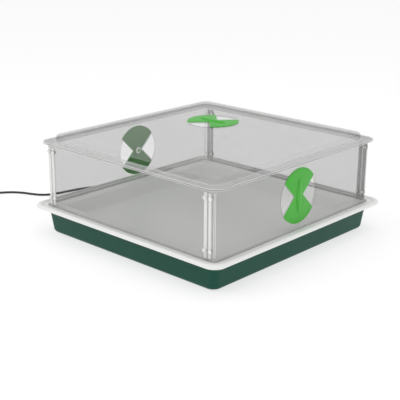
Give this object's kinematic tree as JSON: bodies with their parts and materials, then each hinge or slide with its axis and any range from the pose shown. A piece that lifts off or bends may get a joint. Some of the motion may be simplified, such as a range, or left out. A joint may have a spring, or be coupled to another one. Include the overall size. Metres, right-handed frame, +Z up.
{
  "type": "humidity dome tray",
  "caption": "Electrically heated growing tray with clear riveted walls, a lift-off clear lid and rotary bow-tie vents, on a dark green base.",
  "frame": {"origin": "on the floor under the middle of the base", "axes": "+Z up; the plain front wall faces -Y and the vented right wall +X; the lead leaves at -X"},
  "size_m": [1.015, 0.6345, 0.2519],
  "materials": {
    "base_green": "satin moulded plastic",
    "tray_white": "satin white plastic",
    "clear_plastic": "clear glossy plastic sheet",
    "vent_green": "bright green moulded plastic",
    "rivet_white": "white nylon",
    "foam_white": "rigid insulation foam",
    "foil": "plain aluminium sheet",
    "silicone_red": "silicone sleeve",
    "moulding_black": "black moulded plastic",
    "cord_black": "black flexible cord sheath",
    "pin_brass": "machined brass"
  },
  "bodies": {
    "base": {"base_tray": "base_green", "growing_tray": "tray_white", "insulation_board": "foam_white", "heater_plate": "foil", "heating_cable": "silicone_red", "connection_box": "moulding_black", "cable_gland": "moulding_black", "gland_nut": "moulding_black", "strain_relief": "cord_black", "mains_lead": "cord_black", "lead_tail": "cord_black", "lead_coil": "cord_black", "cable_tie": "moulding_black", "plug_body": "moulding_black", "plug_boot": "moulding_black", "plug_pin_earth": "pin_brass", "plug_pin_live": "pin_brass", "plug_pin_neutral": "pin_brass"},
    "wall_frame": {"front_wall": "clear_plastic", "rear_wall": "clear_plastic", "left_wall": "clear_plastic", "right_wall": "clear_plastic", "corner_strip_front_left": "clear_plastic", "corner_strip_front_right": "clear_plastic", "corner_strip_rear_left": "clear_plastic", "corner_strip_rear_right": "clear_plastic", "rivet_front_left_1": "rivet_white", "rivet_front_left_2": "rivet_white", "rivet_front_left_3": "rivet_white", "rivet_front_left_4": "rivet_white", "rivet_front_right_1": "rivet_white", "rivet_front_right_2": "rivet_white", "rivet_front_right_3": "rivet_white", "rivet_front_right_4": "rivet_white", "rivet_rear_left_1": "rivet_white", "rivet_rear_left_2": "rivet_white", "rivet_rear_left_3": "rivet_white", "rivet_rear_left_4": "rivet_white", "rivet_rear_right_1": "rivet_white", "rivet_rear_right_2": "rivet_white", "rivet_rear_right_3": "rivet_white", "rivet_rear_right_4": "rivet_white"},
    "lid": {"lid": "clear_plastic"},
    "vent_left": {"vent_shutter_left": "vent_green", "vent_clip_left": "rivet_white"},
    "vent_right": {"vent_shutter_right": "vent_green", "vent_clip_right": "rivet_white"},
    "vent_lid": {"vent_shutter_lid": "vent_green", "vent_clip_lid": "rivet_white"}
  },
  "joints": [
    {"name": "wall_frame_lift", "type": "slide", "parent": "base", "child": "wall_frame", "axis": [0, 0, 1], "range_m": [0, 0.12]},
    {"name": "lid_lift", "type": "slide", "parent": "wall_frame", "child": "lid", "axis": [0, 0, 1], "range_m": [0, 0.15]},
    {"name": "vent_left_turn", "type": "hinge", "parent": "wall_frame", "child": "vent_left", "pos_m": [-0.27, 0.016, 0.1485], "axis": [-1, 0, 0], "range_deg": [0, 90]},
    {"name": "vent_right_turn", "type": "hinge", "parent": "wall_frame", "child": "vent_right", "pos_m": [0.27, 0, 0.1485], "axis": [1, 0, 0], "range_deg": [0, 90]},
    {"name": "vent_lid_turn", "type": "hinge", "parent": "lid", "child": "vent_lid", "pos_m": [-0.076, 0.0965, 0.244], "axis": [0, 0, 1], "range_deg": [0, 90]}
  ]
}
